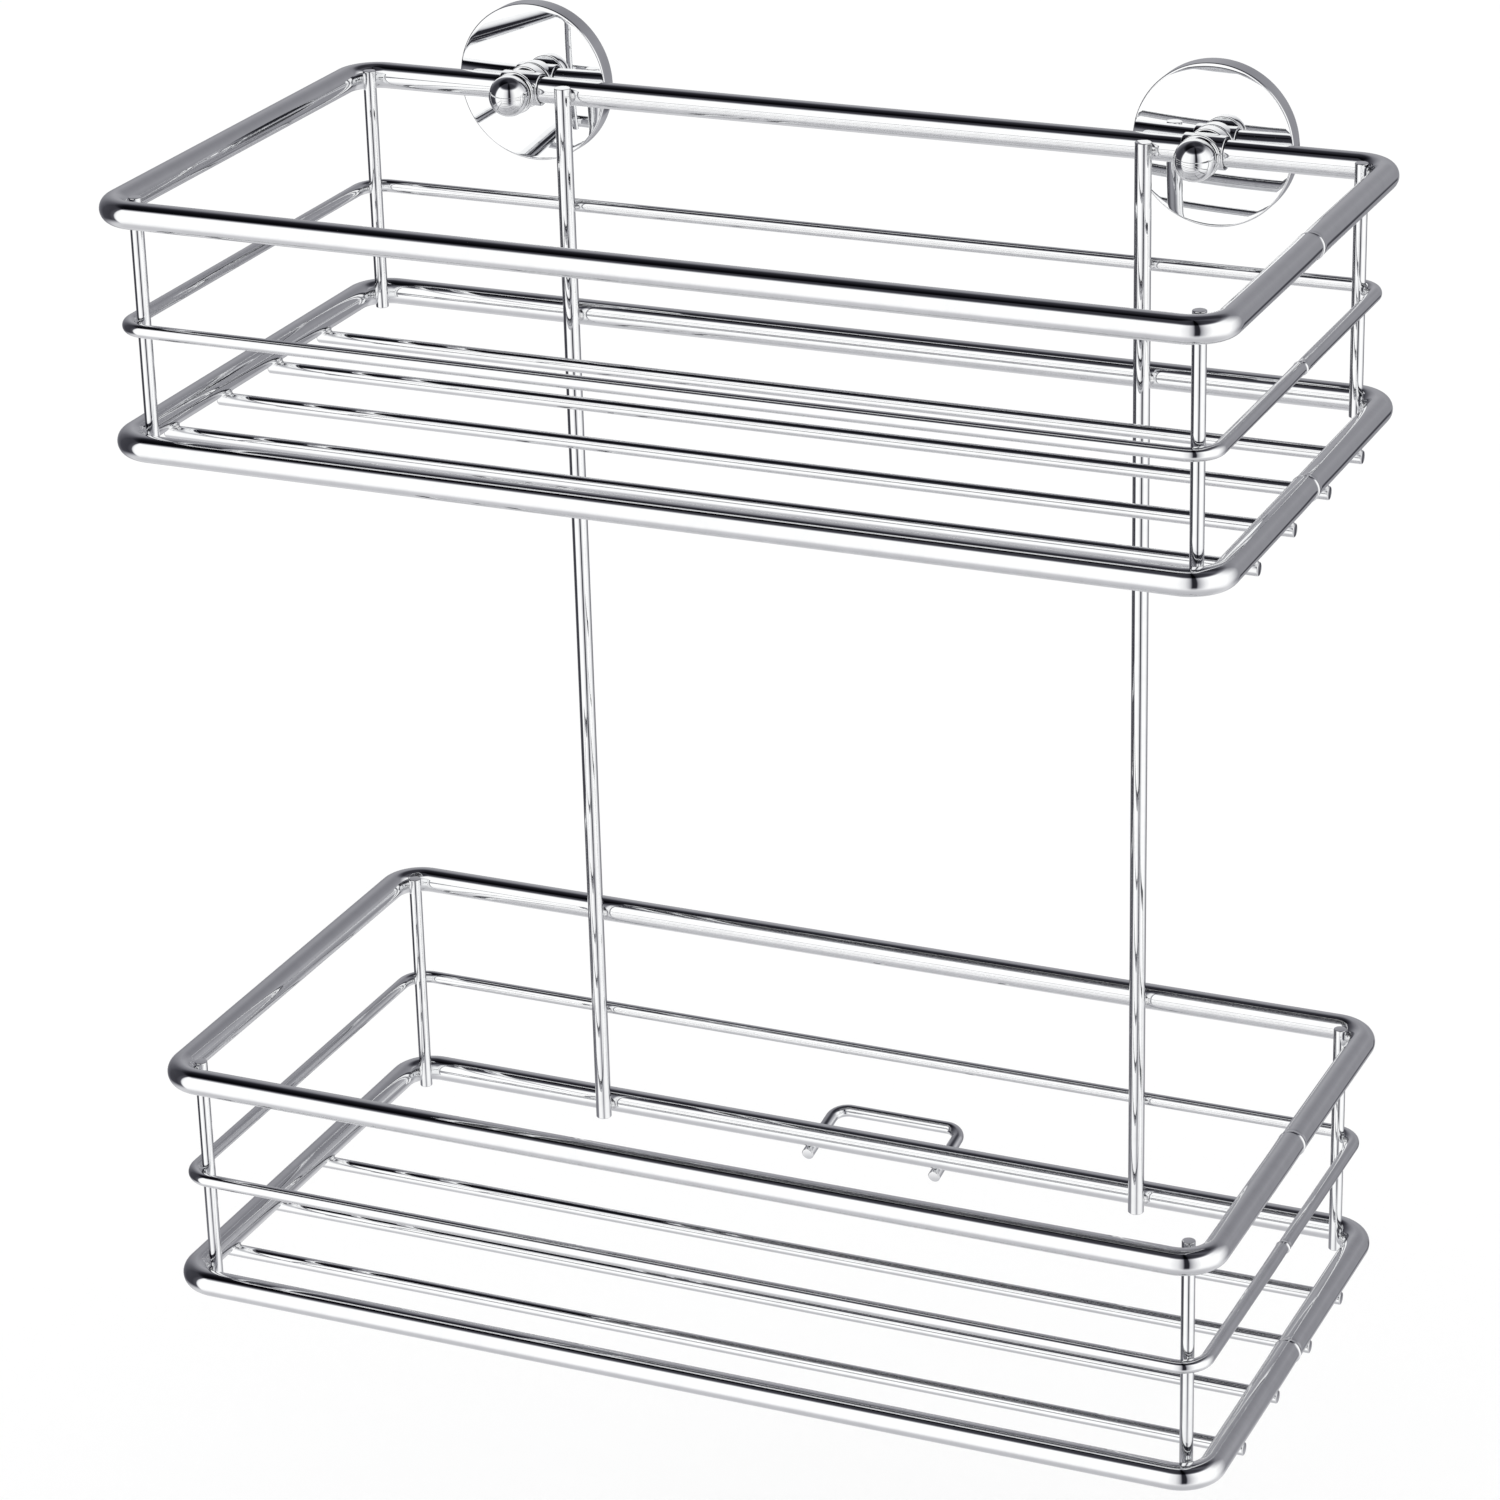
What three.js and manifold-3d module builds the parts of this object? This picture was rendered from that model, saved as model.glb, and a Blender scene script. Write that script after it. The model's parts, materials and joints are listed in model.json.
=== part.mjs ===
// Two-tier wire shower caddy. Millimetres, +Z up, +X to the right, +Y towards the wall.
// Origin: on the wall plane behind the two cover discs, midway between them, at the height of
// the upper top rail. Every rail, rod and wire is a separate piece, welded to its neighbours.

import * as THREE from 'three';
import { mergeVertices } from 'three/addons/utils/BufferGeometryUtils.js';
import Module from 'manifold-3d';

const wasm = await Module();
wasm.setup();

// ---- driving dimensions -------------------------------------------------------------------

const CONTACT_GAP = 0.3;        // left between pieces that touch on the real caddy

const BASKET_LENGTH = 250;      // between the axes of the left and right rails
const BASKET_DEPTH = 119;       // between the axes of the front and back rails
const BASKET_HEIGHT = 52.5;     // between the axes of the top and bottom rails
const TIER_PITCH = 205.9;       // from one basket's top rail to the other's
const CORNER_RADIUS = 7.5;      // at the axis of a thick rail

const RAIL_WIRE = 6;            // top and bottom rails
const THIN_WIRE = 3;            // middle rails, uprights, floor wires and spacer
const HANGER_WIRE = 3.8;
const WIRE_END = 2.4;           // how far uprights and hangers pass the rail axes
const FLOOR_WIRES = 4;
const FLOOR_WIRE_END = -1.3;    // floor wires stop just short of the side rails' outsides
const HANGER_SPACING = 140;

const MOUNT_SPACING = 165;
const DISC_RADIUS = 18.5;
const DISC_THICKNESS = 5;
const DISC_WALL = 1.2;
const DISC_EDGE = 0.5;          // rounding round the front face
const SMALL_EDGE = 0.4;         // chamfer on the fittings' outer edges
const PAD_THICKNESS = 1;
const PAD_PROUD = 0.2;          // the pad, not the disc's rim, meets the wall

const EYE_LENGTH = 9.8;
const EYE_RADIUS = 3.8;
const EYE_BORE = 3.2;
const EYE_BOSS_RADIUS = 4.85;
const EYE_BOSS_SETBACK = 0.6;   // of the boss's front, behind the rail's axis
const SPIGOT_RADIUS = 2.5;
const BALL_RADIUS = 4.75;
const BALL_REACH = 7.4;         // from the rail's axis to the ball's centre
const STUD_RADIUS = 1.5;
const COLLAR_RADIUS = 4.9;
const COLLAR_THICKNESS = 0.9;
const SCREW_RADIUS = 1.2;
const SCREW_HEAD_RADIUS = 2.8;
const SCREW_HEAD_HEIGHT = 1.4;

const SPACER_SPACING = 33.5;    // between its legs
const SPACER_REACH = 17.4;      // from the back rail's axis to the spacer's cross bar
const SPACER_FRONT = 2.2;       // its legs' ends, in front of the back rail's axis
const SPACER_RISE = 10;         // degrees, upwards towards the wall
const SPACER_CORNER = 4;

const RAIL_SIDES = 14;
const THIN_SIDES = 10;
const CORNER_STEPS = 5;
const EDGE_STEPS = 3;
const ROUND_SIDES = 40;
const SMALL_SIDES = 24;
const BALL_STEPS = 12;
const CUT_PAST = 1;             // how far a drill runs out of the solid

// ---- worked out from them -----------------------------------------------------------------

const discFrontY = -PAD_PROUD - DISC_THICKNESS;
const railY = discFrontY - CONTACT_GAP - EYE_RADIUS;            // axis of the back rails
const railRadius = RAIL_WIRE / 2;
const thinRadius = THIN_WIRE / 2;
const hangerRadius = HANGER_WIRE / 2;
const basketCentreY = railY - BASKET_DEPTH / 2;
const uprightInset = railRadius + thinRadius + CONTACT_GAP;     // from a thick rail's axis
const thinRailInset = uprightInset - THIN_WIRE - CONTACT_GAP;
const underRail = railRadius + thinRadius + CONTACT_GAP;        // floor wires hang this far below
const baskets = { upper: 0, lower: -TIER_PITCH };               // heights of the top rails

const chrome = new THREE.MeshStandardMaterial({ color: 0xdadcde, roughness: 0.07, metalness: 1 });
const steel = new THREE.MeshStandardMaterial({ color: 0xb4b6b8, roughness: 0.35, metalness: 1 });
const plastic = new THREE.MeshStandardMaterial({ color: 0xd9dadb, roughness: 0.5, metalness: 0 });
const foam = new THREE.MeshStandardMaterial({ color: 0xf2f2ee, roughness: 0.9, metalness: 0 });

const caddy = new THREE.Group();

function addPiece(name, geometry, material, x = 0, y = 0, z = 0, parent = caddy) {
  const mesh = new THREE.Mesh(geometry, material);
  mesh.name = name;
  mesh.position.set(x, y, z);
  parent.add(mesh);
  return mesh;
}

// ---- curves -------------------------------------------------------------------------------

// A planar path of straight stretches joined by quarter-turn arcs. Its stations, the values of
// t where it is sampled, fall on the ends of the straights and evenly round each arc.
class BentWire extends THREE.Curve {
  constructor(stations) {
    super();
    this.stations = stations;
    this.steps = stations.length - 1;
  }

  getPoint(t, target = new THREE.Vector3()) {
    return target.copy(this.stations[Math.round(t * this.steps)].point);
  }

  getPointAt(t, target) {
    return this.getPoint(t, target);
  }

  getTangentAt(t, target = new THREE.Vector3()) {
    return target.copy(this.stations[Math.round(t * this.steps)].tangent);
  }
}

// Stations round one quarter turn about (cx, cy), anticlockwise from startAngle.
function quarterTurn(cx, cy, radius, startAngle) {
  const stations = [];
  for (let i = 0; i <= CORNER_STEPS; i++) {
    const angle = startAngle + (Math.PI / 2) * (i / CORNER_STEPS);
    const [cos, sin] = [Math.cos(angle), Math.sin(angle)];
    stations.push({
      point: new THREE.Vector3(cx + radius * cos, cy + radius * sin, 0),
      tangent: new THREE.Vector3(-sin, cos, 0),
    });
  }
  return stations;
}

function roundedRectangle(length, depth, radius) {
  const [x, y] = [length / 2 - radius, depth / 2 - radius];
  const stations = [
    ...quarterTurn(x, y, radius, 0),
    ...quarterTurn(-x, y, radius, Math.PI / 2),
    ...quarterTurn(-x, -y, radius, Math.PI),
    ...quarterTurn(x, -y, radius, Math.PI * 1.5),
  ];
  return new BentWire([...stations, stations[0]]);
}

// ---- shapes -------------------------------------------------------------------------------

// A closed rail lying in a level plane, inset from the thick rails' axis.
function railLoop(wire, inset, sides) {
  const shrink = 2 * inset;
  const path = roundedRectangle(BASKET_LENGTH - shrink, BASKET_DEPTH - shrink, CORNER_RADIUS - inset);
  return new THREE.TubeGeometry(path, path.steps, wire / 2, sides, true);
}

// A straight round bar from low to high along the axis named, centred on the other two.
function straightWire(diameter, low, high, axis) {
  const bar = new THREE.CylinderGeometry(diameter / 2, diameter / 2, high - low, THIN_SIDES);
  bar.translate(0, (low + high) / 2, 0);
  if (axis === 'x') bar.rotateZ(-Math.PI / 2);
  if (axis === 'z') bar.rotateX(Math.PI / 2);
  return bar;
}

// A solid turned about the Y axis, from [radius, y] pairs that run from its back to its front.
function turned(profile, sides) {
  const points = profile.map(([radius, y]) => new THREE.Vector2(radius, y));
  return new THREE.LatheGeometry(points, sides);
}

function toManifold(geometry) {
  const bare = geometry.clone();
  bare.deleteAttribute('normal');
  bare.deleteAttribute('uv');
  const merged = mergeVertices(bare);
  return new wasm.Manifold(new wasm.Mesh({
    numProp: 3,
    vertProperties: new Float32Array(merged.attributes.position.array),
    triVerts: new Uint32Array(merged.index.array),
  }));
}

function toGeometry(solid) {
  const mesh = solid.getMesh();
  const geometry = new THREE.BufferGeometry();
  geometry.setAttribute('position', new THREE.BufferAttribute(mesh.vertProperties, 3));
  geometry.setIndex(new THREE.BufferAttribute(mesh.triVerts, 1));
  return geometry;
}

// ---- baskets ------------------------------------------------------------------------------

for (const [tier, topZ] of Object.entries(baskets)) {
  const bottomZ = topZ - BASKET_HEIGHT;
  const thickRail = railLoop(RAIL_WIRE, 0, RAIL_SIDES);
  addPiece(`${tier}_top_rail`, thickRail, chrome, 0, basketCentreY, topZ);
  addPiece(`${tier}_bottom_rail`, thickRail, chrome, 0, basketCentreY, bottomZ);
  const thinRail = railLoop(THIN_WIRE, thinRailInset, THIN_SIDES);
  addPiece(`${tier}_middle_rail`, thinRail, chrome, 0, basketCentreY, (topZ + bottomZ) / 2);

  // Uprights stand inside the rounded corners, on the corners' diagonals.
  const upright = straightWire(THIN_WIRE, bottomZ - WIRE_END, topZ + WIRE_END, 'z');
  const diagonal = (CORNER_RADIUS - uprightInset) * Math.SQRT1_2;
  const uprightX = BASKET_LENGTH / 2 - CORNER_RADIUS + diagonal;
  const uprightY = BASKET_DEPTH / 2 - CORNER_RADIUS + diagonal;
  for (const [end, ySign] of [['front', -1], ['back', 1]]) {
    for (const [side, xSign] of [['left', -1], ['right', 1]]) {
      const y = basketCentreY + ySign * uprightY;
      addPiece(`${tier}_upright_${end}_${side}`, upright, chrome, xSign * uprightX, y, 0);
    }
  }

  // Floor wires lie across the underside of the bottom rail's two sides.
  const reach = BASKET_LENGTH / 2 + railRadius + FLOOR_WIRE_END;
  const floorWire = straightWire(THIN_WIRE, -reach, reach, 'x');
  for (let i = 1; i <= FLOOR_WIRES; i++) {
    const y = railY - (BASKET_DEPTH * i) / (FLOOR_WIRES + 1);
    addPiece(`${tier}_floor_wire_${i}`, floorWire, chrome, 0, y, bottomZ - underRail);
  }
}

// ---- hangers ------------------------------------------------------------------------------

const lowestRailZ = baskets.lower - BASKET_HEIGHT;
const hangerY = railY - railRadius - CONTACT_GAP - hangerRadius;
const hanger = straightWire(HANGER_WIRE, lowestRailZ - WIRE_END, WIRE_END, 'z');
for (const [side, xSign] of [['left', -1], ['right', 1]]) {
  addPiece(`hanger_${side}`, hanger, chrome, (xSign * HANGER_SPACING) / 2, hangerY, 0);
}

// ---- wall spacer --------------------------------------------------------------------------

// A U of thin wire under the lowest back rail, drawn flat with the rail's axis above its origin.
function spacerLoop() {
  const x = SPACER_SPACING / 2;
  const turnX = x - SPACER_CORNER;
  const turnY = SPACER_REACH - SPACER_CORNER;
  const along = new THREE.Vector3(0, 1, 0);
  const path = new BentWire([
    { point: new THREE.Vector3(x, -SPACER_FRONT, 0), tangent: along },
    ...quarterTurn(turnX, turnY, SPACER_CORNER, 0),
    ...quarterTurn(-turnX, turnY, SPACER_CORNER, Math.PI / 2),
    { point: new THREE.Vector3(-x, -SPACER_FRONT, 0), tangent: along.clone().negate() },
  ]);
  const section = new THREE.Shape();
  section.absarc(0, 0, thinRadius, 0, Math.PI * 2);
  return new THREE.ExtrudeGeometry(section, {
    extrudePath: path,
    steps: path.steps,
    curveSegments: THIN_SIDES / 2,
  });
}

const spacerTilt = THREE.MathUtils.degToRad(SPACER_RISE);
const spacer = addPiece('wall_spacer', spacerLoop(), chrome);
spacer.position.y = railY + underRail * Math.sin(spacerTilt);
spacer.position.z = lowestRailZ - underRail * Math.cos(spacerTilt);
spacer.rotation.x = spacerTilt;

// ---- wall mounts --------------------------------------------------------------------------

// The profiles below are measured from the wall plane (y = 0) towards the front (-y).
const padFrontY = -PAD_THICKNESS;
const plateBackY = padFrontY - CONTACT_GAP;
const plateFrontY = discFrontY + DISC_WALL + CONTACT_GAP;
const cavityRadius = DISC_RADIUS - DISC_WALL;
const plateRadius = cavityRadius - CONTACT_GAP;
const spigotHole = SPIGOT_RADIUS + CONTACT_GAP;
const eyeBackY = discFrontY - CONTACT_GAP;
const spigotEndY = plateFrontY + CONTACT_GAP;
const screwHeadFrontY = plateBackY - SCREW_HEAD_HEIGHT;

// Cover disc: a shallow cup, open towards the wall, with a hole for the eye's spigot.
function coverDisc() {
  const rimBackY = -PAD_PROUD;
  const edge = [];
  for (let i = 0; i <= EDGE_STEPS; i++) {
    const angle = (Math.PI / 2) * (i / EDGE_STEPS);
    const radius = DISC_RADIUS - DISC_EDGE * (1 - Math.cos(angle));
    edge.push([radius, discFrontY + DISC_EDGE * (1 - Math.sin(angle))]);
  }
  const inside = discFrontY + DISC_WALL;
  return turned([
    [spigotHole, discFrontY], ...edge.reverse(), [DISC_RADIUS, rimBackY], [cavityRadius, rimBackY],
    [cavityRadius, inside], [spigotHole, inside], [spigotHole, discFrontY],
  ], ROUND_SIDES);
}

// Base plate: fills the cup, holds the spigot in front and the screw's head in a recess behind.
function basePlate() {
  const shankHole = SCREW_RADIUS + CONTACT_GAP;
  const headHole = SCREW_HEAD_RADIUS + CONTACT_GAP;
  const webFrontY = spigotEndY + CONTACT_GAP;
  const webBackY = screwHeadFrontY - CONTACT_GAP;
  return turned([
    [shankHole, webFrontY], [spigotHole, webFrontY], [spigotHole, plateFrontY],
    [plateRadius, plateFrontY], [plateRadius, plateBackY], [headHole, plateBackY],
    [headHole, webBackY], [shankHole, webBackY], [shankHole, webFrontY],
  ], ROUND_SIDES);
}

// Pan-head screw that goes into the spigot from behind.
function baseScrew() {
  return turned([
    [0, eyeBackY + 2 * CONTACT_GAP], [SCREW_RADIUS, eyeBackY + 2 * CONTACT_GAP],
    [SCREW_RADIUS, screwHeadFrontY], [SCREW_HEAD_RADIUS, screwHeadFrontY],
    [SCREW_HEAD_RADIUS, plateBackY - SMALL_EDGE],
    [SCREW_HEAD_RADIUS - SMALL_EDGE, plateBackY], [0, plateBackY],
  ], SMALL_SIDES);
}

function wallPad() {
  return turned([[0, padFrontY], [plateRadius, padFrontY], [plateRadius, 0], [0, 0]], ROUND_SIDES);
}

// Clamp eye: a sleeve round the rail, a boss against the disc, and a spigot through it that is
// drilled for the base screw. The sleeve's front is drilled for the knob's stud.
function clampEye() {
  const boreLength = EYE_LENGTH + 2 * CUT_PAST;
  const sleeve = new THREE.CylinderGeometry(EYE_RADIUS, EYE_RADIUS, EYE_LENGTH, SMALL_SIDES);
  const bore = new THREE.CylinderGeometry(EYE_BORE, EYE_BORE, boreLength, SMALL_SIDES);
  for (const cylinder of [sleeve, bore]) cylinder.rotateZ(Math.PI / 2).translate(0, railY, 0);
  const bossFrontY = railY + EYE_BOSS_SETBACK;
  const tail = turned([
    [0, bossFrontY], [EYE_BOSS_RADIUS - SMALL_EDGE, bossFrontY],
    [EYE_BOSS_RADIUS, bossFrontY + SMALL_EDGE], [EYE_BOSS_RADIUS, eyeBackY],
    [SPIGOT_RADIUS, eyeBackY], [SPIGOT_RADIUS, spigotEndY], [0, spigotEndY],
  ], SMALL_SIDES);
  const screwHole = drill(SCREW_RADIUS + CONTACT_GAP, eyeBackY + CONTACT_GAP, spigotEndY + CUT_PAST);
  const studHole = drill(STUD_RADIUS + CONTACT_GAP, railY - EYE_RADIUS - CUT_PAST, railY);
  const solid = [bore, screwHole, studHole].reduce(
    (body, cut) => body.subtract(toManifold(cut)),
    toManifold(sleeve).add(toManifold(tail)),
  );
  return toGeometry(solid);
}

function drill(radius, frontY, backY) {
  const cutter = new THREE.CylinderGeometry(radius, radius, backY - frontY, SMALL_SIDES);
  return cutter.translate(0, (frontY + backY) / 2, 0);
}

const collarBackY = railY - EYE_RADIUS - CONTACT_GAP;
const collarFrontY = collarBackY - COLLAR_THICKNESS;

function knobCollar() {
  const hole = STUD_RADIUS + CONTACT_GAP;
  return turned([
    [hole, collarFrontY], [COLLAR_RADIUS - SMALL_EDGE, collarFrontY],
    [COLLAR_RADIUS, collarFrontY + SMALL_EDGE], [COLLAR_RADIUS, collarBackY],
    [hole, collarBackY], [hole, collarFrontY],
  ], SMALL_SIDES);
}

// Ball knob: a ball with a flat seat and a stud that reaches through the sleeve to the rail.
function ballKnob() {
  const centreY = railY - BALL_REACH;
  const seatY = collarFrontY - CONTACT_GAP;
  const seatAngle = Math.acos((centreY - seatY) / BALL_RADIUS);
  const profile = [];
  for (let i = 0; i <= BALL_STEPS; i++) {
    const angle = seatAngle * (i / BALL_STEPS);
    profile.push([BALL_RADIUS * Math.sin(angle), centreY - BALL_RADIUS * Math.cos(angle)]);
  }
  profile[0][0] = 0;
  const studEndY = railY - railRadius - CONTACT_GAP;
  profile.push([STUD_RADIUS, seatY], [STUD_RADIUS, studEndY], [0, studEndY]);
  return turned(profile, SMALL_SIDES);
}

const mountShapes = {
  cover_disc: [coverDisc(), chrome],
  base_plate: [basePlate(), plastic],
  base_screw: [baseScrew(), steel],
  wall_pad: [wallPad(), foam],
  clamp_eye: [clampEye(), chrome],
  knob_collar: [knobCollar(), chrome],
  ball_knob: [ballKnob(), chrome],
};

for (const [side, xSign] of [['left', -1], ['right', 1]]) {
  const mount = new THREE.Group();
  mount.position.x = (xSign * MOUNT_SPACING) / 2;
  caddy.add(mount);
  for (const [piece, [geometry, material]] of Object.entries(mountShapes)) {
    addPiece(`${side}_${piece}`, geometry, material, 0, 0, 0, mount);
  }
}

export default caddy;
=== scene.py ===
"""Two-tier chrome wire shower caddy: its visible surfaces, their materials and a plain studio.

Everything is in metres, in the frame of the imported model: +X right, +Y towards the wall, +Z up.
"""

import json
import math

import bmesh
import bpy
from mathutils import Matrix, Vector, noise


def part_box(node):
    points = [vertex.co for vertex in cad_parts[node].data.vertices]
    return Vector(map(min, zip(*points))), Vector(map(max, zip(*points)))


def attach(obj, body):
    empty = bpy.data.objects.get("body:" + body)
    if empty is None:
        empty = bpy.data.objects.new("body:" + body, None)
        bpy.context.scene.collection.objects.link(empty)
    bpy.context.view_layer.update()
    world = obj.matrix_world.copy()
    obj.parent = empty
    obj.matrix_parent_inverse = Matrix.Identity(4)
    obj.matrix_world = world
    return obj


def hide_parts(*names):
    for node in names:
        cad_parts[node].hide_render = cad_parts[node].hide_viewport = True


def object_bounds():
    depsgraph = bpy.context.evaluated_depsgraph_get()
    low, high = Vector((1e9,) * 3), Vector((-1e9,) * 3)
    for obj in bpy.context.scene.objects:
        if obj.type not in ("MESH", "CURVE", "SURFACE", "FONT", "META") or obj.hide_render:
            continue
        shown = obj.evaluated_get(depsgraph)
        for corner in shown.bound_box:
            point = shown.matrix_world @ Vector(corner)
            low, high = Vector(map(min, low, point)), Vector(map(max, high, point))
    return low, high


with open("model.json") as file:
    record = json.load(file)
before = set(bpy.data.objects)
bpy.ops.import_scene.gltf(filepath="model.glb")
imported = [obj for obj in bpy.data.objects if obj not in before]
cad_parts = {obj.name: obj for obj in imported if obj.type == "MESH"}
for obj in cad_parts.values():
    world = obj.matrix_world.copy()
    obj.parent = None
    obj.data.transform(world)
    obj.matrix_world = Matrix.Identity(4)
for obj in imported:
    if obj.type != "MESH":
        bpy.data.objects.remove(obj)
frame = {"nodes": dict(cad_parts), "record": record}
cad_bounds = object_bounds()

MM = 0.001
X_AXIS, Y_AXIS, Z_AXIS = Vector((1, 0, 0)), Vector((0, 1, 0)), Vector((0, 0, 1))

# ---- sizes that the frame doesn't hold ------------------------------------------------------

CORNER_RADIUS = 7.5 * MM       # at the axis of a thick rail
SPACER_CORNER = 4.0 * MM
SPACER_RISE = math.radians(10)
DISC_CROWN = 0.62 * MM         # how far the disc's middle stands in front of its edge
DISC_WALL = 1.2 * MM
DISC_EDGE = 0.45 * MM
SPACER_RADIUS = 1.5 * MM
SPIGOT_RADIUS = 2.5 * MM
SPIGOT_HOLE = 2.8 * MM
EYE_RADIUS = 3.8 * MM
EYE_BORE = 3.2 * MM
BOSS_RADIUS = 4.85 * MM
BOSS_SETBACK = 0.6 * MM        # of the boss's front, behind the rail's axis
STUD_RADIUS = 1.5 * MM
CONTACT_GAP = 0.3 * MM         # as in the CAD, between pieces that touch on the real caddy
FITTING_EDGE = 0.3 * MM        # rounding on the edges of turned fittings
PAD_EDGE = 0.35 * MM           # bulge of the foam tape's cut edge
CUT_EDGE = 0.22 * MM           # rounding where a wire was cut off
SEAM_BEAD = 0.11 * MM          # height of the upset metal at a butt weld
SEAM_STEP = 0.16 * MM          # sideways mismatch of the two ends at a butt weld
SEAM_EASE = 11.0 * MM          # length over which the mismatch fades
BEAD_WIDTH = 0.28 * MM
NOTCH_WIDTH = 0.25 * MM
NOTCH_PLACE = 0.9 * MM         # the groove that runs beside the bead, on its one side
NOTCH_SHARE = 0.5              # of the bead's height

# A fillet of weld metal, as shares of the two wires' radii.
WELD_FOOT = 1.28               # half width on the first wire
WELD_FOOT_HEIGHT = 0.6
WELD_HEAD = 0.86               # half width on the second wire
WELD_FLARE = 1.12
WELD_WAIST = 0.16              # how much it draws in halfway
WELD_UNEVEN = 0.12             # random share of its size
WELD_SINK = 0.06 * MM          # how far it reaches into both wires

SIDES = 48
CORNER_STEPS = 20
EDGE_STEPS = 5
FACE_STEPS = 24
BALL_STEPS = 64
WELD_SIDES = 28
WELD_STEPS = 8
LATHE_SIDES = 128
SHARP_ANGLE = math.radians(38)
UNEVEN_SCALE = 61.7            # per metre, of the noise that makes each weld differ

# ---- node graphs ----------------------------------------------------------------------------


class Graph:
    """Short ways to add and join the nodes of one tree."""

    def __init__(self, tree):
        self.tree = tree
        tree.nodes.clear()

    def add(self, kind, inputs=None, **settings):
        node = self.tree.nodes.new(kind)
        for name, value in settings.items():
            setattr(node, name, value)
        for socket, value in (inputs or {}).items():
            self.feed(node.inputs[socket], value)
        return node

    def feed(self, socket, value):
        if isinstance(value, bpy.types.NodeSocket):
            self.tree.links.new(value, socket)
        else:
            socket.default_value = value

    def math(self, operation, *values):
        node = self.add("ShaderNodeMath", operation=operation)
        for socket, value in zip(node.inputs, values):
            self.feed(socket, value)
        return node.outputs[0]

    def fade(self, value, start, end, low=0.0, high=1.0):
        """low before start, high after end, and a smooth step between them."""
        inputs = {"Value": value, "From Min": start, "From Max": end, "To Min": low, "To Max": high}
        node = self.add("ShaderNodeMapRange", inputs, interpolation_type="SMOOTHSTEP")
        return node.outputs["Result"]

    def band(self, value, low, high, soft):
        """1 between low and high, 0 outside, with soft edges."""
        rise = self.fade(value, low - soft, low + soft)
        fall = self.fade(value, high - soft, high + soft, 1.0, 0.0)
        return self.math("MULTIPLY", rise, fall)

    def curve(self, value, low, high, stops):
        """A grey level looked up by value in (place, level) stops between low and high."""
        inputs = {"Value": value, "From Min": low, "From Max": high}
        place = self.add("ShaderNodeMapRange", inputs).outputs["Result"]
        node = self.add("ShaderNodeValToRGB", {"Fac": place})
        elements = node.color_ramp.elements
        for element, (_, level) in zip(elements, (stops[0], stops[-1])):
            element.color = (level, level, level, 1)
        for at, level in stops[1:-1]:
            elements.new((at - low) / (high - low)).color = (level, level, level, 1)
        return node.outputs["Color"]

    def blend(self, share, first, second):
        inputs = {"Factor": share, "A": first, "B": second}
        return self.add("ShaderNodeMix", inputs, data_type="FLOAT").outputs["Result"]

    def noise(self, place, scale, detail=2.0, roughness=0.5):
        inputs = {"Vector": place, "Scale": scale, "Detail": detail, "Roughness": roughness}
        return self.add("ShaderNodeTexNoise", inputs).outputs["Fac"]


# ---- materials ------------------------------------------------------------------------------

RECORD_COLOURS = {m["slot"]: m["base_color"] for m in frame["record"]["materials"]}
materials = {}


def new_material(slot, name=None):
    material = bpy.data.materials.new(name or f"{slot}_finish")
    material.use_nodes = True
    graph = Graph(material.node_tree)
    shader = graph.add("ShaderNodeBsdfPrincipled")
    graph.add("ShaderNodeOutputMaterial", {"Surface": shader.outputs["BSDF"]})
    place = graph.add("ShaderNodeTexCoord").outputs["Object"]
    return material, graph, shader, place


def chrome(slot, tone=1.04, ripple=0.009 * MM, polish=0.012, haze=0.025, grit=1.0):
    """Bright plate: long low ripples, fine grain under it, and faint cloudy patches of haze."""
    material, graph, shader, place = new_material(slot)
    colour = [min(1.0, c * tone) for c in RECORD_COLOURS[slot]]
    ripples = graph.noise(place, scale=75, detail=1.0)
    grain = graph.noise(place, scale=2600, detail=3.0, roughness=0.6)
    clouds = graph.noise(place, scale=240, detail=4.0, roughness=0.65)
    specks = graph.fade(graph.noise(place, scale=1500, detail=1.0), 0.70, 0.76)
    duller = graph.math("MULTIPLY_ADD", graph.fade(clouds, 0.42, 0.72), haze, polish)
    shader.inputs["Metallic"].default_value = 1.0
    graph.feed(shader.inputs["Roughness"], graph.math("MULTIPLY_ADD", specks, 0.05 * grit, duller))
    shade = graph.fade(clouds, 0.3, 0.8, 1.0, 0.94)
    tint = graph.add("ShaderNodeVectorMath", {0: colour}, operation="SCALE")
    graph.feed(tint.inputs["Scale"], shade)
    graph.feed(shader.inputs["Base Color"], tint.outputs["Vector"])
    fine = graph.add("ShaderNodeBump", {"Distance": 0.0005 * MM * grit, "Height": grain})
    long = graph.add("ShaderNodeBump", {"Distance": ripple, "Height": ripples})
    graph.feed(long.inputs["Normal"], fine.outputs["Normal"])
    graph.feed(shader.inputs["Normal"], long.outputs["Normal"])
    return material


def weld_metal(slot):
    """Plated weld metal, a little rough and uneven."""
    material, graph, shader, place = new_material(slot, "weld_finish")
    lumps = graph.noise(place, scale=900, detail=3.0, roughness=0.6)
    shader.inputs["Metallic"].default_value = 1.0
    graph.feed(shader.inputs["Roughness"], graph.fade(lumps, 0.3, 0.7, 0.09, 0.22))
    tint = graph.add("ShaderNodeVectorMath", {0: RECORD_COLOURS[slot]}, operation="SCALE")
    graph.feed(tint.inputs["Scale"], graph.fade(lumps, 0.3, 0.7, 0.95, 0.78))
    graph.feed(shader.inputs["Base Color"], tint.outputs["Vector"])
    bump = graph.add("ShaderNodeBump", {"Distance": 0.05 * MM, "Height": lumps})
    graph.feed(shader.inputs["Normal"], bump.outputs["Normal"])
    return material


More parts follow.
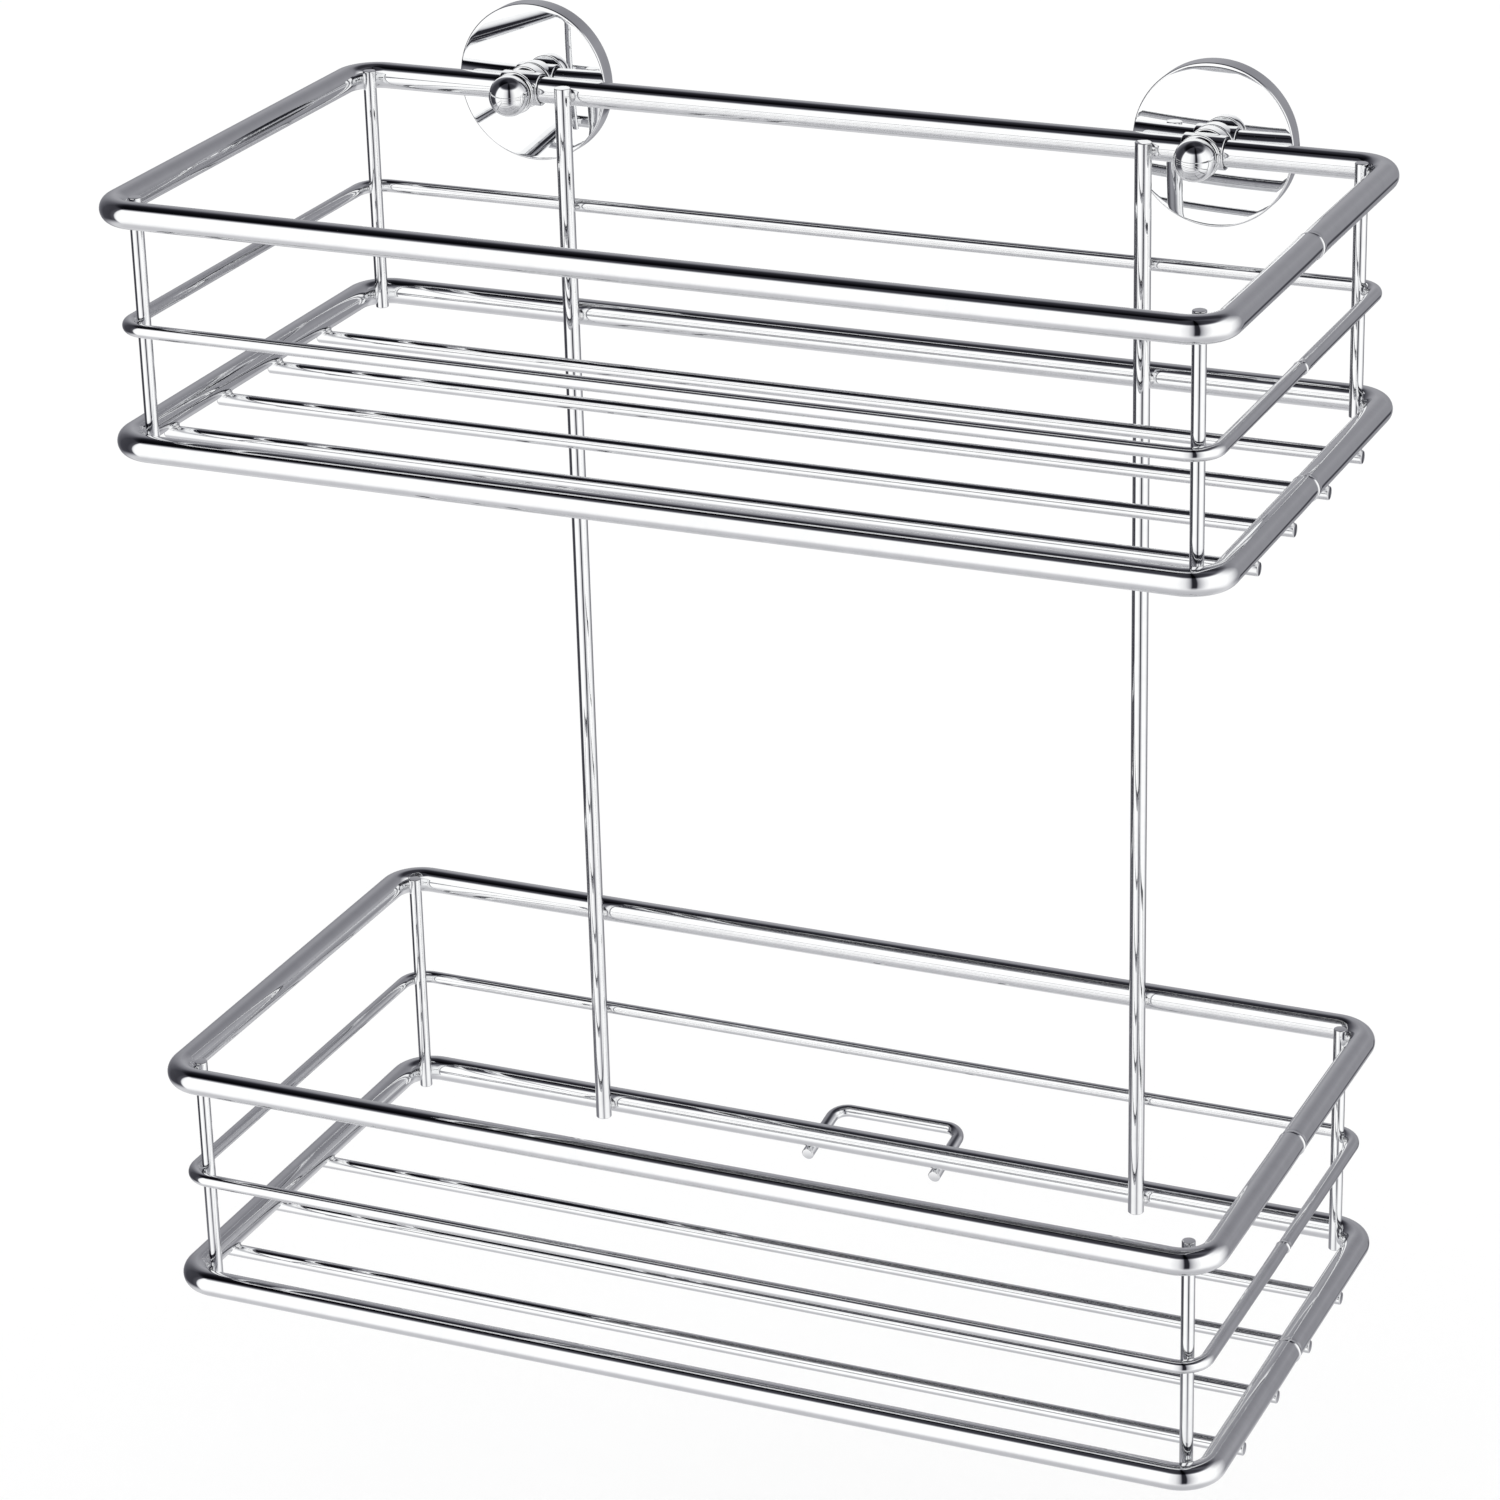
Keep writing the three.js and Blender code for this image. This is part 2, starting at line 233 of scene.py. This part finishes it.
def screw_steel(slot):
    """Zinc-plated steel with the fine rings of a turned part."""
    material, graph, shader, place = new_material(slot)
    rings = graph.add("ShaderNodeTexWave", {"Vector": place, "Scale": 900.0, "Distortion": 1.5})
    cloudy = graph.noise(place, scale=500, detail=4.0)
    shader.inputs["Metallic"].default_value = 1.0
    tint = graph.add("ShaderNodeVectorMath", {0: RECORD_COLOURS[slot]}, operation="SCALE")
    graph.feed(tint.inputs["Scale"], graph.fade(cloudy, 0.3, 0.7, 0.85, 1.0))
    graph.feed(shader.inputs["Base Color"], tint.outputs["Vector"])
    graph.feed(shader.inputs["Roughness"], graph.fade(cloudy, 0.3, 0.7, 0.28, 0.45))
    bump = graph.add("ShaderNodeBump", {"Distance": 0.01 * MM, "Height": rings.outputs["Fac"]})
    graph.feed(shader.inputs["Normal"], bump.outputs["Normal"])
    return material


def moulded_plastic(slot):
    """Pale moulded plastic with a fine spark-eroded texture."""
    material, graph, shader, place = new_material(slot)
    texture = graph.noise(place, scale=3500)
    flow = graph.noise(place, scale=60, detail=3.0)
    tint = graph.add("ShaderNodeVectorMath", {0: RECORD_COLOURS[slot]}, operation="SCALE")
    graph.feed(tint.inputs["Scale"], graph.fade(flow, 0.3, 0.7, 0.93, 1.0))
    graph.feed(shader.inputs["Base Color"], tint.outputs["Vector"])
    graph.feed(shader.inputs["Roughness"], graph.fade(texture, 0.3, 0.7, 0.42, 0.58))
    bump = graph.add("ShaderNodeBump", {"Distance": 0.02 * MM, "Height": texture})
    graph.feed(shader.inputs["Normal"], bump.outputs["Normal"])
    return material


def closed_cell_foam(slot):
    """White foam tape: small closed cells, soft and matt."""
    material, graph, shader, place = new_material(slot)
    inputs = {"Vector": place, "Scale": 2200.0, "Randomness": 1.0}
    cells = graph.add("ShaderNodeTexVoronoi", inputs).outputs["Distance"]
    patches = graph.noise(place, scale=150, detail=3.0)
    tint = graph.add("ShaderNodeVectorMath", {0: RECORD_COLOURS[slot]}, operation="SCALE")
    graph.feed(tint.inputs["Scale"], graph.fade(patches, 0.3, 0.7, 0.9, 1.0))
    graph.feed(shader.inputs["Base Color"], tint.outputs["Vector"])
    graph.feed(shader.inputs["Roughness"], graph.fade(cells, 0.1, 0.6, 0.95, 0.75))
    bump = graph.add("ShaderNodeBump", {"Distance": 0.06 * MM, "Height": cells})
    graph.feed(shader.inputs["Normal"], bump.outputs["Normal"])
    return material


materials["rail_chrome"] = chrome("rail_chrome")
materials["wire_chrome"] = chrome("wire_chrome", ripple=0.007 * MM)
materials["disc_chrome"] = chrome("disc_chrome", ripple=0.004 * MM, polish=0.01, haze=0.012, grit=0.15)
materials["fitting_chrome"] = chrome("fitting_chrome", ripple=0.002 * MM, polish=0.01, haze=0.02, grit=0.4)
materials["screw_steel"] = screw_steel("screw_steel")
materials["base_plastic"] = moulded_plastic("base_plastic")
materials["pad_foam"] = closed_cell_foam("pad_foam")
materials["weld"] = weld_metal("wire_chrome")

# ---- pieces ---------------------------------------------------------------------------------

bodies_of = {n: b for b, ns in frame["record"]["behaviour"]["bodies"].items() for n in ns}


def slot_of(node):
    return frame["nodes"][node].data.materials[0].name.split(".")[0]


def make_mesh(name, points, faces):
    mesh = bpy.data.meshes.new(name)
    mesh.from_pydata([tuple(p) for p in points], [], faces)
    mesh.update()
    return mesh


def add_piece(name, mesh, material, body, slot, *nodes):
    """Puts a finished mesh into the scene, riding on a body, in place of the CAD nodes named."""
    mesh.shade_smooth()
    mesh.set_sharp_from_angle(angle=SHARP_ANGLE)
    mesh.materials.clear()
    mesh.materials.append(material)
    piece = bpy.data.objects.new(name, mesh)
    bpy.context.scene.collection.objects.link(piece)
    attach(piece, body)
    if nodes:
        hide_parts(*nodes)
    return piece


def stand_in(node, mesh):
    """A finished mesh in place of the CAD node it is named after."""
    slot = slot_of(node)
    return add_piece(f"{node}_surface", mesh, materials[slot], bodies_of[node], slot, node)


# ---- swept wires ----------------------------------------------------------------------------


def sweep(name, stations, up, closed=False):
    """A round wire through stations (point, tangent, radius). up is square to every tangent."""
    points, faces = [], []
    for point, tangent, radius in stations:
        side = tangent.cross(up).normalized()
        for j in range(SIDES):
            angle = 2 * math.pi * j / SIDES
            points.append(point + radius * (math.cos(angle) * side + math.sin(angle) * up))
    count = len(stations)
    for i in range(count if closed else count - 1):
        this, after = i * SIDES, ((i + 1) % count) * SIDES
        for j in range(SIDES):
            k = (j + 1) % SIDES
            faces.append((this + j, this + k, after + k, after + j))
    if not closed:
        faces.append(tuple(reversed(range(SIDES))))
        last = (count - 1) * SIDES
        faces.append(tuple(range(last, last + SIDES)))
    return make_mesh(name, points, faces)


def cut_end(point, inward, radius, tangent):
    """Stations from the flat of a cut end to the full wire, going inward with a rounded edge."""
    stations = []
    for i in range(EDGE_STEPS + 1):
        angle = (math.pi / 2) * (1 - i / EDGE_STEPS)
        depth = CUT_EDGE * (1 - math.sin(angle))
        size = radius - CUT_EDGE * (1 - math.cos(angle))
        stations.append((point + inward * depth, tangent, size))
    return stations


def straight_wire(node, axis):
    """A cut length of wire along one axis, through the middle of its CAD node's box."""
    low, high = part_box(node)
    middle = (low + high) / 2
    across = [(high - low)[i] / 2 for i in range(3) if not axis[i]]
    start = middle - axis * (middle - low).dot(axis)
    end = middle + axis * (high - middle).dot(axis)
    stations = cut_end(start, axis, max(across), axis)
    stations += reversed(cut_end(end, -axis, max(across), axis))
    up = X_AXIS if axis[2] else Z_AXIS
    return stand_in(node, sweep(node, stations, up))


def arc(centre, radius, start, steps, wire, along=X_AXIS, across=Y_AXIS):
    """Stations round a quarter turn, anticlockwise from the angle start in the plane given."""
    stations = []
    for i in range(steps + 1):
        angle = start + (math.pi / 2) * i / steps
        out = math.cos(angle) * along + math.sin(angle) * across
        tangent = -math.sin(angle) * along + math.cos(angle) * across
        stations.append((centre + radius * out, tangent, wire))
    return stations


def rail_axis(node):
    """(centre, half length, half depth, wire radius) of the loop that a rail's axis makes."""
    low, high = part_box(node)
    wire = (high.z - low.z) / 2
    half = (high - low) / 2
    return (low + high) / 2, half.x - wire, half.y - wire, wire


def seam_profile(distance, wire, end):
    """(sideways shift, radius) of a rail near its butt weld. end is 1 or -1 for its two ends."""
    bead = SEAM_BEAD * math.exp(-((distance / BEAD_WIDTH) ** 2))
    notch = NOTCH_SHARE * SEAM_BEAD * math.exp(-(((distance - NOTCH_PLACE) / NOTCH_WIDTH) ** 2))
    shift = end * SEAM_STEP / 2 * math.exp(-((distance / (SEAM_EASE / 2)) ** 2))
    return shift, wire + bead - (notch if end > 0 else 0)


def seam_run(start, tangent, wire, end):
    """Stations over the stretch beside the butt weld, going away from it."""
    offsets = [0.08, 0.2, 0.35, 0.5, 0.7, 0.9, 1.1, 1.4, 2, 3, 4.5, 6, 8, 10, 13, 16]
    stations = []
    for offset in offsets:
        shift, size = seam_profile(offset * MM, wire, end)
        point = start + tangent * offset * MM * end + X_AXIS * shift
        stations.append((point, tangent, size))
    return stations


def rail_loop(node):
    """A closed rail with round corners and its butt weld in the middle of the right side."""
    centre, half_x, half_y, wire = rail_axis(node)
    inset = rail_axis(node.replace("middle", "top"))[1] - half_x
    radius = CORNER_RADIUS - inset
    x, y = half_x - radius, half_y - radius
    seam = centre + X_AXIS * half_x
    stations = seam_run(seam, Y_AXIS, wire, 1)
    for turn, (sign_x, sign_y) in enumerate([(1, 1), (-1, 1), (-1, -1), (1, -1)]):
        corner = centre + Vector((sign_x * x, sign_y * y, 0))
        stations += arc(corner, radius, turn * math.pi / 2, CORNER_STEPS, wire)
    stations += reversed(seam_run(seam, Y_AXIS, wire, -1))
    return stand_in(node, sweep(node, stations, Z_AXIS, closed=True))


def wall_spacer(node):
    """The U of thin wire under the lowest back rail, tilted up towards the wall."""
    low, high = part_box(node)
    wire = SPACER_RADIUS
    half_x = (high.x - low.x) / 2 - wire
    along = Vector((0, math.cos(SPACER_RISE), math.sin(SPACER_RISE)))
    normal = X_AXIS.cross(along)
    start = Vector((0, low.y + wire * along.z, low.z + wire * along.y))
    reach = (high.y - wire - start.y) / along.y
    corner_x, corner_y = half_x - SPACER_CORNER, reach - SPACER_CORNER
    right, left = start + X_AXIS * half_x, start - X_AXIS * half_x
    stations = cut_end(right, along, wire, along)
    for sign, turn in ((1, 0), (-1, math.pi / 2)):
        centre = start + X_AXIS * sign * corner_x + along * corner_y
        stations += arc(centre, SPACER_CORNER, turn, CORNER_STEPS, wire, X_AXIS, along)
    stations += reversed(cut_end(left, along, wire, -along))
    return stand_in(node, sweep(node, stations, normal))


TIERS = ("upper", "lower")
SIDE_NAMES = ("left", "right")

for tier in TIERS:
    for level in ("top", "middle", "bottom"):
        rail_loop(f"{tier}_{level}_rail")
    for end in ("front", "back"):
        for side in SIDE_NAMES:
            straight_wire(f"{tier}_upright_{end}_{side}", Z_AXIS)
floor_wires = sorted(n for n in frame["nodes"] if "floor_wire" in n)
for node in floor_wires:
    straight_wire(node, X_AXIS)
for side in SIDE_NAMES:
    straight_wire(f"hanger_{side}", Z_AXIS)
wall_spacer("wall_spacer")

# ---- welds ----------------------------------------------------------------------------------


class WeldBuilder:
    """Collects the fillets of weld metal where wires cross, as one mesh of closed shells."""

    def __init__(self):
        self.points, self.faces = [], []

    def add(self, first, first_axis, first_radius, second, second_axis, second_radius):
        """A waisted nugget between two crossing wires, given a point on each one's axis."""
        normal = second - first
        span = normal.length
        normal.normalize()
        uneven = 1 + WELD_UNEVEN * noise.noise(first * UNEVEN_SCALE)
        foot_x = WELD_FOOT * second_radius * uneven
        foot_y = min(WELD_FOOT_HEIGHT * first_radius, second_radius)
        head_x, head_y = WELD_HEAD * second_radius, WELD_FLARE * foot_y * uneven
        base = len(self.points)
        for i in range(WELD_STEPS + 1):
            share = i / WELD_STEPS
            pinch = 1 - WELD_WAIST * math.sin(math.pi * share)
            for j in range(WELD_SIDES):
                angle = 2 * math.pi * j / WELD_SIDES
                cos, sin = math.cos(angle), math.sin(angle)
                x = (foot_x + (head_x - foot_x) * share) * pinch * cos
                y = (foot_y + (head_y - foot_y) * share) * pinch * sin
                low = math.sqrt(first_radius**2 - (foot_y * sin) ** 2) - WELD_SINK
                high = span - math.sqrt(second_radius**2 - (head_x * cos) ** 2) + WELD_SINK
                height = low + (high - low) * share
                self.points.append(first + x * first_axis + y * second_axis + height * normal)
        for i in range(WELD_STEPS):
            for j in range(WELD_SIDES):
                k = (j + 1) % WELD_SIDES
                this, after = base + i * WELD_SIDES, base + (i + 1) * WELD_SIDES
                self.faces.append((this + j, this + k, after + k, after + j))
        top = base + WELD_STEPS * WELD_SIDES
        self.faces.append(tuple(reversed(range(base, base + WELD_SIDES))))
        self.faces.append(tuple(range(top, top + WELD_SIDES)))

    def finish(self, name):
        mesh = make_mesh(name, self.points, self.faces)
        outward(mesh)
        return add_piece(name, mesh, materials["weld"], "frame", "wire_chrome")


def outward(mesh):
    """Turns every face of a closed mesh to point out."""
    edit = bmesh.new()
    edit.from_mesh(mesh)
    bmesh.ops.recalc_face_normals(edit, faces=edit.faces)
    edit.to_mesh(mesh)
    edit.free()


def wire_line(node):
    """(middle of its box, radius) of a straight wire."""
    low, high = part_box(node)
    return (low + high) / 2, sorted((high - low) / 2)[1]


def weld_basket(tier):
    welds = WeldBuilder()
    for level in ("top", "middle", "bottom"):
        centre, half_x, half_y, wire = rail_axis(f"{tier}_{level}_rail")
        inset = rail_axis(f"{tier}_top_rail")[1] - half_x
        reach = CORNER_RADIUS - inset
        for end, sign_y in (("front", -1), ("back", 1)):
            for side, sign_x in (("left", -1), ("right", 1)):
                upright, upright_radius = wire_line(f"{tier}_upright_{end}_{side}")
                out = Vector((sign_x, sign_y, 0)).normalized()
                corner = Vector((sign_x * (half_x - reach), sign_y * (half_y - reach), 0))
                on_rail = centre + corner + reach * out
                on_upright = Vector((upright.x, upright.y, centre.z))
                along = Z_AXIS.cross(out)
                welds.add(on_rail, along, wire, on_upright, Z_AXIS, upright_radius)
        for side in SIDE_NAMES:
            hanger, hanger_radius = wire_line(f"hanger_{side}")
            on_rail = Vector((hanger.x, centre.y + half_y, centre.z))
            on_hanger = Vector((hanger.x, hanger.y, centre.z))
            welds.add(on_rail, X_AXIS, wire, on_hanger, Z_AXIS, hanger_radius)
    centre, half_x, half_y, wire = rail_axis(f"{tier}_bottom_rail")
    for node in (n for n in floor_wires if n.startswith(tier)):
        across, across_radius = wire_line(node)
        for sign_x in (-1, 1):
            on_rail = Vector((sign_x * half_x, across.y, centre.z))
            on_wire = Vector((sign_x * half_x, across.y, across.z))
            welds.add(on_rail, Y_AXIS, wire, on_wire, X_AXIS, across_radius)
    return welds.finish(f"{tier}_basket_welds")


for tier in TIERS:
    weld_basket(tier)

# ---- turned fittings ------------------------------------------------------------------------


def lathe(name, profile, centre, axis=Y_AXIS, sides=LATHE_SIDES):
    """Turns (radius, distance along axis) pairs about axis through centre, outline closed."""
    across = X_AXIS if abs(axis.x) < 0.5 else Z_AXIS
    other = axis.cross(across)
    points, rings = [], []
    for radius, along in profile:
        base = centre + axis * along
        if radius < 1e-7:
            rings.append([len(points)] * sides)
            points.append(base)
            continue
        rings.append(list(range(len(points), len(points) + sides)))
        for j in range(sides):
            angle = 2 * math.pi * j / sides
            points.append(base + radius * (math.cos(angle) * across + math.sin(angle) * other))
    faces = []
    for first, second in zip(rings, rings[1:] + rings[:1]):
        if first[0] == first[1] and second[0] == second[1]:
            continue
        for j in range(sides):
            k = (j + 1) % sides
            face = dict.fromkeys((first[j], first[k], second[k], second[j]))
            faces.append(tuple(face))
    mesh = make_mesh(name, points, faces)
    outward(mesh)
    return mesh


def rounded(corner, before, after, radius, steps=EDGE_STEPS):
    """Profile points round a corner between the points before and after it."""
    corner, before, after = Vector(corner), Vector(before), Vector(after)
    start = corner + (before - corner).normalized() * radius
    end = corner + (after - corner).normalized() * radius
    points = []
    for i in range(steps + 1):
        share = i / steps
        bend = start.lerp(corner, share).lerp(corner.lerp(end, share), share)
        points.append(tuple(bend))
    return points


def softened(outline, radii):
    """An outline with the corners named in radii, {index: radius}, rounded off."""
    points = []
    for i, corner in enumerate(outline):
        if i in radii:
            before, after = outline[i - 1], outline[(i + 1) % len(outline)]
            points += rounded(corner, before, after, radii[i])
        else:
            points.append(corner)
    return points


def combined(name, base, *operations):
    """base with each (operation, mesh) applied in turn, as a new mesh."""
    holder = bpy.data.objects.new(f"{name}_base", base)
    bpy.context.scene.collection.objects.link(holder)
    tools = []
    for operation, mesh in operations:
        tool = bpy.data.objects.new(f"{name}_tool", mesh)
        bpy.context.scene.collection.objects.link(tool)
        modifier = holder.modifiers.new(operation, "BOOLEAN")
        modifier.operation = operation
        modifier.object = tool
        modifier.solver = "EXACT"
        tools.append(tool)
    bpy.context.view_layer.update()
    graph = bpy.context.evaluated_depsgraph_get()
    result = bpy.data.meshes.new_from_object(holder.evaluated_get(graph))
    result.name = name
    for spare in [holder, *tools]:
        bpy.data.objects.remove(spare)
    return result


def cover_disc(side):
    """A shallow cup with a slightly crowned, mirror-bright face."""
    node = f"{side}_cover_disc"
    low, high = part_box(node)
    centre = Vector(((low.x + high.x) / 2, 0, (low.z + high.z) / 2))
    radius = (high.x - low.x) / 2
    face = []
    for i in range(FACE_STEPS + 1):
        at = SPIGOT_HOLE + (radius - DISC_EDGE - SPIGOT_HOLE) * i / FACE_STEPS
        face.append((at, low.y + DISC_CROWN * (at / radius) ** 2))
    edge_y = face[-1][1]
    corner = (radius, edge_y)
    edge = rounded(corner, (0, edge_y), (radius, high.y), DISC_EDGE)
    rim = [(radius, high.y), (radius - DISC_WALL, high.y)]
    inside = low.y + DISC_WALL
    back = [(radius - DISC_WALL, inside + DISC_CROWN), (SPIGOT_HOLE, inside)]
    profile = face[:-1] + edge + rim + back
    return stand_in(node, lathe(node, profile, centre))


def clamp_eye(side):
    """A sleeve round the rail with a boss that seats against the cover disc."""
    node = f"{side}_clamp_eye"
    low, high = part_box(node)
    centre = Vector(((low.x + high.x) / 2, low.y + EYE_RADIUS, (low.z + high.z) / 2))
    half = (high.x - low.x) / 2
    outline = [(0, -half), (EYE_RADIUS, -half), (EYE_RADIUS, half), (0, half)]
    sleeve = lathe("sleeve", softened(outline, {1: FITTING_EDGE, 2: FITTING_EDGE}), centre, X_AXIS)
    back = EYE_RADIUS
    spigot = high.y - centre.y
    front = BOSS_SETBACK
    outline = [(0, front), (BOSS_RADIUS, front), (BOSS_RADIUS, back),
               (SPIGOT_RADIUS, back), (SPIGOT_RADIUS, spigot), (0, spigot)]
    boss = lathe("boss", softened(outline, {1: FITTING_EDGE, 2: FITTING_EDGE}), centre)
    past = 1.3 * half
    bore = lathe("bore", [(0, -past), (EYE_BORE, -past), (EYE_BORE, past), (0, past)], centre, X_AXIS)
    mesh = combined(node, sleeve, ("UNION", boss), ("DIFFERENCE", bore))
    return stand_in(node, mesh)


def knob_collar(side):
    node = f"{side}_knob_collar"
    low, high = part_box(node)
    centre = Vector(((low.x + high.x) / 2, 0, (low.z + high.z) / 2))
    radius = (high.x - low.x) / 2
    hole = STUD_RADIUS + CONTACT_GAP
    outline = [(hole, low.y), (radius, low.y), (radius, high.y), (hole, high.y)]
    mesh = lathe(node, softened(outline, {1: FITTING_EDGE, 2: FITTING_EDGE}), centre)
    return stand_in(node, mesh)


def ball_knob(side):
    """A polished ball with a flat seat, on a short stud."""
    node = f"{side}_ball_knob"
    low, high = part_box(node)
    collar_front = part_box(f"{side}_knob_collar")[0].y
    radius = (high.z - low.z) / 2
    centre = Vector(((low.x + high.x) / 2, low.y + radius, (low.z + high.z) / 2))
    seat = collar_front - CONTACT_GAP - centre.y
    turn = math.acos(-seat / radius)
    ball = []
    for i in range(BALL_STEPS + 1):
        angle = turn * i / BALL_STEPS
        ball.append((radius * math.sin(angle), -radius * math.cos(angle)))
    stud_end = high.y - centre.y
    outline = ball + [(STUD_RADIUS, seat), (STUD_RADIUS, stud_end), (0, stud_end)]
    return stand_in(node, lathe(node, outline, centre))


def wall_pad(side):
    """A round of foam tape whose edge bulges a little between its two faces."""
    node = f"{side}_wall_pad"
    low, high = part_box(node)
    centre = Vector(((low.x + high.x) / 2, 0, (low.z + high.z) / 2))
    radius = (high.x - low.x) / 2
    outline = [(0, low.y), (radius, low.y), (radius, high.y), (0, high.y)]
    mesh = lathe(node, softened(outline, {1: PAD_EDGE, 2: PAD_EDGE}), centre)
    return stand_in(node, mesh)


for side in SIDE_NAMES:
    for build in (cover_disc, clamp_eye, knob_collar, ball_knob, wall_pad):
        build(side)
    for part in ("base_plate", "base_screw"):
        node = f"{side}_{part}"
        frame["nodes"][node].data.materials[0] = materials[slot_of(node)]

# ---- studio ---------------------------------------------------------------------------------

# Levels round the horizon, by azimuth in degrees: 0 is +Y, behind the caddy, and 90 is +X.
# White panels stand front left and right, with dark gaps between them and grey behind.
HORIZON = [
    (-180, 0.88), (-170, 1.0), (-131, 1.0), (-126, 0.80), (-122, 0.08), (-108, 0.04),
    (-80, 0.05), (-62, 0.11), (-44, 0.22), (-26, 0.31), (0, 0.26), (34, 0.25), (46, 0.46),
    (60, 0.76), (74, 0.98), (118, 1.0), (128, 0.82), (137, 0.56), (144, 0.30), (147, 0.02),
    (157, 0.02), (161, 0.36), (166, 0.58), (172, 0.78), (180, 0.88),
]
FRONT_CEILING = [(-90, 1.0), (43, 1.0), (47, 0.45), (52, 0.07), (60, 0.035), (90, 0.035)]
BACK_CEILING = [(-90, 1.0), (0, 1.0), (16, 1.1), (41, 0.74), (49, 0.3), (56, 0.11), (90, 0.10)]
TABLE = [(-90, 0.46), (-65, 0.50), (-50, 0.60), (-38, 0.78), (0, 0.78)]
STUDIO_GAIN = 1.16             # makes up for what chrome absorbs
DARK_GAP = (12, 20)            # a narrow dark gap in the grey backdrop, behind right
GAP_HEIGHT = (-30, -13)        # its reach in elevation
GAP_DEPTH = 0.8
BEHIND = (-95, 75)             # azimuths where the back ceiling takes over from the front one
TABLE_EDGE = (-24, -52)        # elevations between which the horizon gives way to the table
BLUE_GREY = 0.94               # exponent that leaves dark greys slightly blue
PLAIN_LIGHT = 1.06             # the white light that floor and background get
FLOOR_WHITE = 0.96


def studio_world():
    """What chrome reflects, by direction; the floor and the background get plain white light."""
    world = bpy.data.worlds.new("studio")
    world.use_nodes = True
    world.cycles.sampling_method = "NONE"
    graph = Graph(world.node_tree)
    direction = graph.add("ShaderNodeTexCoord").outputs["Generated"]
    split = graph.add("ShaderNodeSeparateXYZ", {"Vector": direction}).outputs
    azimuth = graph.math("DEGREES", graph.math("ARCTAN2", split["X"], split["Y"]))
    elevation = graph.math("DEGREES", graph.math("ARCSINE", split["Z"]))
    horizon = graph.curve(azimuth, -180, 180, HORIZON)
    across, upward = graph.band(azimuth, *DARK_GAP, 1.5), graph.band(elevation, *GAP_HEIGHT, 3)
    gap = graph.math("MULTIPLY", across, upward)
    horizon = graph.math("MULTIPLY", horizon, graph.math("MULTIPLY_ADD", gap, -GAP_DEPTH, 1.0))
    behind = graph.band(azimuth, *BEHIND, 25)
    front_ceiling = graph.curve(elevation, -90, 90, FRONT_CEILING)
    back_ceiling = graph.curve(elevation, -90, 90, BACK_CEILING)
    ceiling = graph.blend(behind, front_ceiling, back_ceiling)
    table = graph.curve(elevation, -90, 90, TABLE)
    low = graph.fade(elevation, *TABLE_EDGE)
    level = graph.math("MULTIPLY", graph.blend(low, horizon, table), ceiling)
    blue = graph.math("POWER", level, BLUE_GREY)
    colour = graph.add("ShaderNodeCombineXYZ", {"X": level, "Y": level, "Z": blue})
    studio = graph.add("ShaderNodeBackground", {"Color": colour.outputs["Vector"], "Strength": STUDIO_GAIN})
    plain = graph.add("ShaderNodeBackground", {"Color": (1, 1, 1, 1), "Strength": PLAIN_LIGHT})
    glossy = graph.add("ShaderNodeLightPath").outputs["Is Glossy Ray"]
    mix = graph.add("ShaderNodeMixShader", {0: glossy, 1: plain.outputs[0], 2: studio.outputs[0]})
    graph.add("ShaderNodeOutputWorld", {"Surface": mix.outputs[0]})
    bpy.context.scene.world = world


def studio_floor():
    """A plain pale floor, well below the hanging caddy."""
    drop, reach = 0.16, 14.0
    level = cad_bounds[0].z - drop
    signs = ((-1, -1), (1, -1), (1, 1), (-1, 1))
    corners = [(x * reach, y * reach, level) for x, y in signs]
    mesh = make_mesh("floor", corners, [(0, 1, 2, 3)])
    material = bpy.data.materials.new("floor_paper")
    material.use_nodes = True
    graph = Graph(material.node_tree)
    shader = graph.add("ShaderNodeBsdfDiffuse", {"Color": (FLOOR_WHITE, FLOOR_WHITE, FLOOR_WHITE, 1)})
    graph.add("ShaderNodeOutputMaterial", {"Surface": shader.outputs["BSDF"]})
    mesh.materials.append(material)
    floor = bpy.data.objects.new("floor", mesh)
    floor.visible_glossy = False
    bpy.context.scene.collection.objects.link(floor)


CAMERA_PLACE = (0.4086, -0.9897, 0.2973)
CAMERA_AZIMUTH, CAMERA_DIP, CAMERA_ROLL = 24.094, 22.971, -1.537
CAMERA_LENS = 117.25


def studio_camera():
    data = bpy.data.cameras.new("camera")
    data.sensor_width = 36.0
    data.lens = CAMERA_LENS
    camera = bpy.data.objects.new("camera", data)
    azimuth, dip, roll = (math.radians(a) for a in (CAMERA_AZIMUTH, CAMERA_DIP, CAMERA_ROLL))
    turn = Matrix.Rotation(azimuth, 4, "Z") @ Matrix.Rotation(math.pi / 2 - dip, 4, "X")
    camera.matrix_world = Matrix.Translation(CAMERA_PLACE) @ turn @ Matrix.Rotation(roll, 4, "Z")
    bpy.context.scene.collection.objects.link(camera)
    bpy.context.scene.camera = camera


studio_world()
studio_floor()
studio_camera()
bpy.context.scene.view_settings.view_transform = "Standard"
